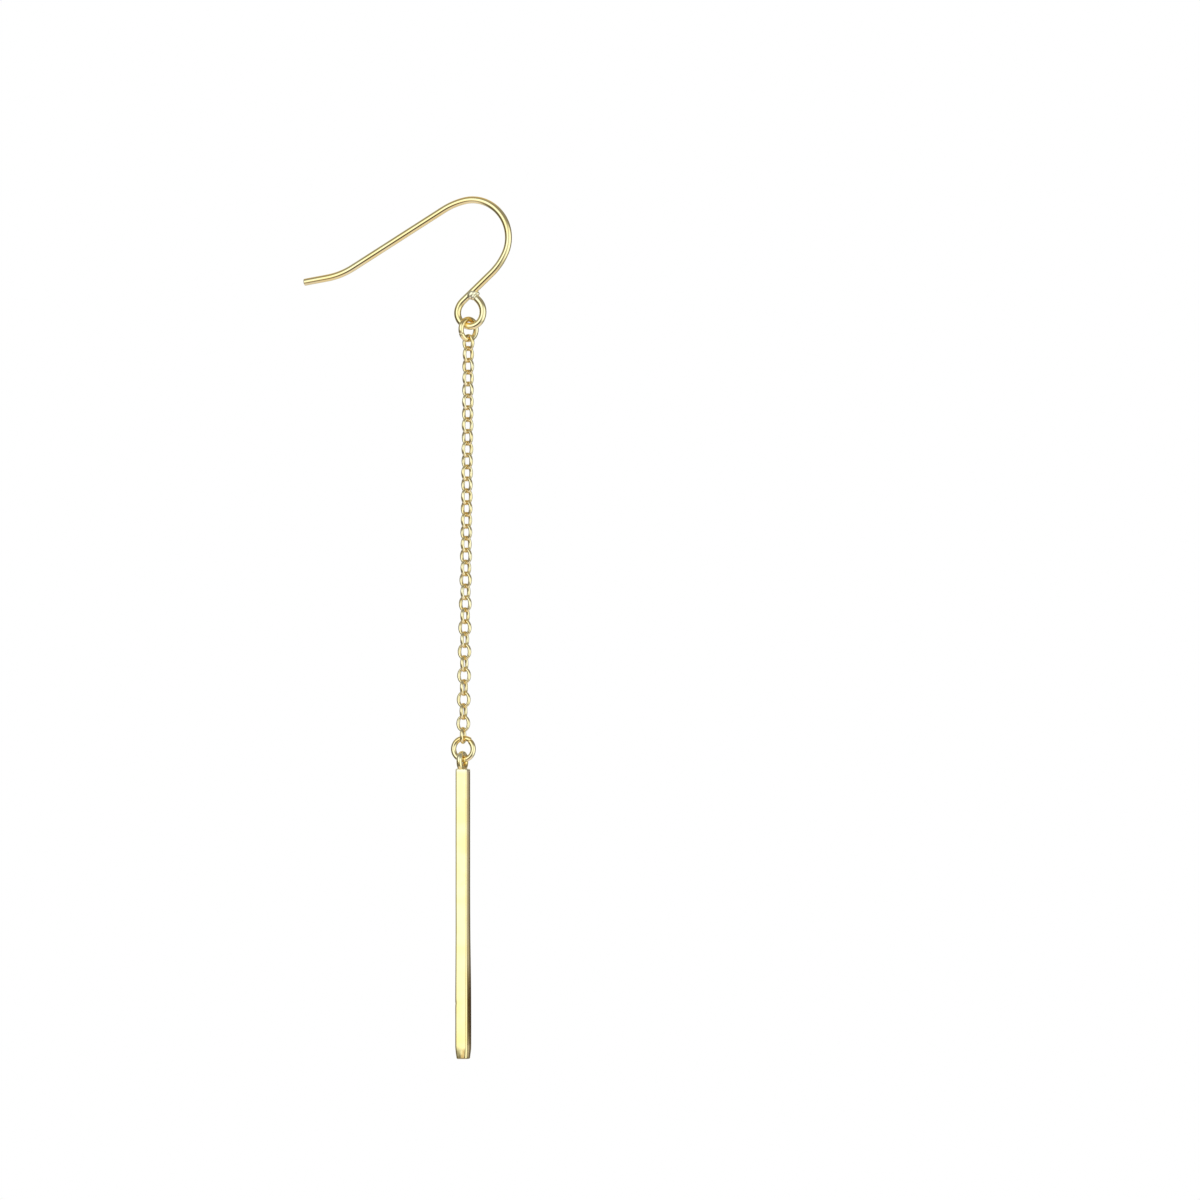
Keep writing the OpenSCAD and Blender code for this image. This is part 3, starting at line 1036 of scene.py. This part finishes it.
def studio_world(settings):
    """White in view, and for reflections a room painted by direction.

    The table is what lies from 37 to 53 degrees below and further down. Each patch of
    the room is a disc on the sky. A direction whose dot product with the disc's middle
    is above the cosine of the first angle is fully in it, and one below the cosine of
    the second angle is out of it.
    """
    world = bpy.data.worlds.new("white_studio")
    world.use_nodes = True
    tree = Nodes(world.node_tree)
    tree.tree.nodes.clear()
    way = tree.add("ShaderNodeTexCoord", output="Generated")
    z = tree.dot(way, tuple(UP))
    room = rgba((0.96, 1.0, 0.96), settings.dark)
    table = rgba((1.0, 0.96, 0.98), settings.table)
    room = tree.mix(1 - tree.ease(z, -0.8, -0.6), room, table)
    for turn, height, inside, outside, brightness, tint in SKY_PATCHES:
        a, b = math.radians(turn - 90 + CAMERA_TURN), math.radians(height)
        middle = (math.cos(a) * math.cos(b), math.sin(a) * math.cos(b), math.sin(b))
        near = tree.dot(way, middle)
        low, high = math.cos(math.radians(outside)), math.cos(math.radians(inside))
        patch = rgba(tint, brightness * settings.light)
        room = tree.mix(tree.ease(near, low, high), room, patch)
    seen = tree.add("ShaderNodeLightPath", output="Is Camera Ray")
    room = tree.mix(seen, room, (1.0, 1.0, 1.0, 1.0))
    light = tree.add("ShaderNodeBackground", None, {"Color": room, "Strength": 1.0})
    tree.add("ShaderNodeOutputWorld", None, {"Surface": light})
    return world


def stage_plane(name, corners, material):
    """A flat four-cornered stage object."""
    mesh = bpy.data.meshes.new(name)
    mesh.from_pydata([tuple(map(float, corner)) for corner in corners], [], [(0, 1, 2, 3)])
    mesh.materials.append(material)
    plane = bpy.data.objects.new(name, mesh)
    bpy.context.scene.collection.objects.link(plane)
    return plane


def floor_material():
    """Pale matt paper with a faint grain."""
    material, tree = new_material("pale_paper")
    grain = tree.noise(tree.place(), scale=60.0, detail=4.0)
    paper = tree.mix(grain, rgba((0.90, 0.90, 0.89)), rgba((0.94, 0.94, 0.93)))
    shader = tree.add("ShaderNodeBsdfPrincipled", None, {"Base Color": paper, "Roughness": 0.9})
    tree.add("ShaderNodeOutputMaterial", None, {"Surface": shader})
    return material


def card_material(aside):
    """A lit card: grey, with a dark brown band across it, and a dark shade over its
    inner side. The shade's edge leans outwards as it comes down to the band.

    Fall is how far below the hook's crest a place is, and side how far it is to the
    right, less the lean.
    """
    material, tree = new_material("tan_card")
    place = tree.place()
    fall = tree.dot(place, tuple(-UP))
    band = tree.ease(fall, *BAND_IN) * (1 - tree.ease(fall, *BAND_OUT))
    side = tree.dot(place, tuple(aside)) - tree.ease(fall, *LEAN_OVER) * LEAN
    colour = tree.mix(band, rgba(CARD_GREY), rgba(CARD_BROWN))
    shade = 1 - tree.ease(side, *SHADE_EDGE)
    colour = tree.mix(shade * 0.82, colour, rgba(CARD_SHADE))
    light = tree.add("ShaderNodeEmission", None, {"Color": colour, "Strength": 1.0})
    tree.add("ShaderNodeOutputMaterial", None, {"Surface": light})
    return material


class EARRING_OT_studio(Operator):
    """Sets up the white room, the pale floor, the card behind the bar and the camera"""

    bl_idname = "earring.studio"
    bl_label = "Studio"

    def execute(self, context):
        scene = context.scene
        settings = scene.earring_studio
        scene.world = studio_world(settings)
        scene.view_settings.view_transform = "Standard"

        square = ((-1, -1), (1, -1), (1, 1), (-1, 1))
        corners = [(FLOOR_REACH * i, FLOOR_REACH * k, -settings.floor_drop) for i, k in square]
        floor = stage_plane("floor", corners, floor_material())
        floor.visible_glossy = False

        a = math.radians(CAMERA_TURN)
        away = np.array([math.sin(a), math.cos(a), 0.0])
        aside = np.array([math.cos(a), -math.sin(a), 0.0])
        middle = CARD_LINE + CARD_BEHIND * away
        left, right = middle - CARD_LEFT * aside, middle + CARD_RIGHT * aside
        low, high = -CARD_FOOT * UP, -CARD_TOP * UP
        corners = (left + low, right + low, right + high, left + high)
        card = stage_plane("tan_card", corners, card_material(aside))
        card.visible_camera = False
        card.visible_diffuse = False

        data = bpy.data.cameras.new("photo_camera")
        data.sensor_width = 36.0
        data.lens = data.sensor_width * CAMERA_DISTANCE / FRAME_WIDTH
        data.clip_start, data.clip_end = 0.1, 20.0
        camera = bpy.data.objects.new("photo_camera", data)
        scene.collection.objects.link(camera)
        x, y, z = CAMERA_TARGET
        back = CAMERA_DISTANCE
        camera.location = (x + back * math.sin(a), y - back * math.cos(a), z)
        camera.rotation_euler = (math.pi / 2, 0.0, a)
        scene.camera = camera
        return {"FINISHED"}


class EARRING_PT_pieces(Panel):
    """The earring's pieces, each with its sizes and the button that makes it."""

    bl_label = "Bar Earring"
    bl_idname = "EARRING_PT_pieces"
    bl_space_type = "VIEW_3D"
    bl_region_type = "UI"
    bl_category = "Bar Earring"

    def draw(self, context):
        scene = context.scene
        for group, operator in PIECES:
            box = self.layout.box()
            settings = getattr(scene, group)
            for name in settings.__annotations__:
                box.prop(settings, name)
            box.operator(operator.bl_idname)


PIECES = (
    ("earring_studio", EARRING_OT_studio),
    ("earring_wire", EARRING_OT_ear_wire),
    ("earring_rings", EARRING_OT_jump_rings),
    ("earring_chain", EARRING_OT_chain),
    ("earring_bar", EARRING_OT_bar),
)
GROUPS = {
    "earring_wire": WireSettings,
    "earring_rings": RingSettings,
    "earring_chain": ChainSettings,
    "earring_bar": BarSettings,
    "earring_studio": StudioSettings,
}


def register():
    """Registers the settings, the operators and the panel."""
    for name, group in GROUPS.items():
        bpy.utils.register_class(group)
        setattr(bpy.types.Scene, name, PointerProperty(type=group))
    for _, operator in PIECES:
        bpy.utils.register_class(operator)
    bpy.utils.register_class(EARRING_PT_pieces)


def unregister():
    """Takes the panel, the operators and the settings away again."""
    bpy.utils.unregister_class(EARRING_PT_pieces)
    for _, operator in reversed(PIECES):
        bpy.utils.unregister_class(operator)
    for name, group in reversed(GROUPS.items()):
        delattr(bpy.types.Scene, name)
        bpy.utils.unregister_class(group)


def main():
    """Makes the studio and the pieces."""
    register()
    bpy.ops.earring.studio()
    bpy.ops.earring.ear_wire()
    bpy.ops.earring.jump_rings()
    bpy.ops.earring.chain()
    bpy.ops.earring.bar()


if __name__ == "__main__":
    main()
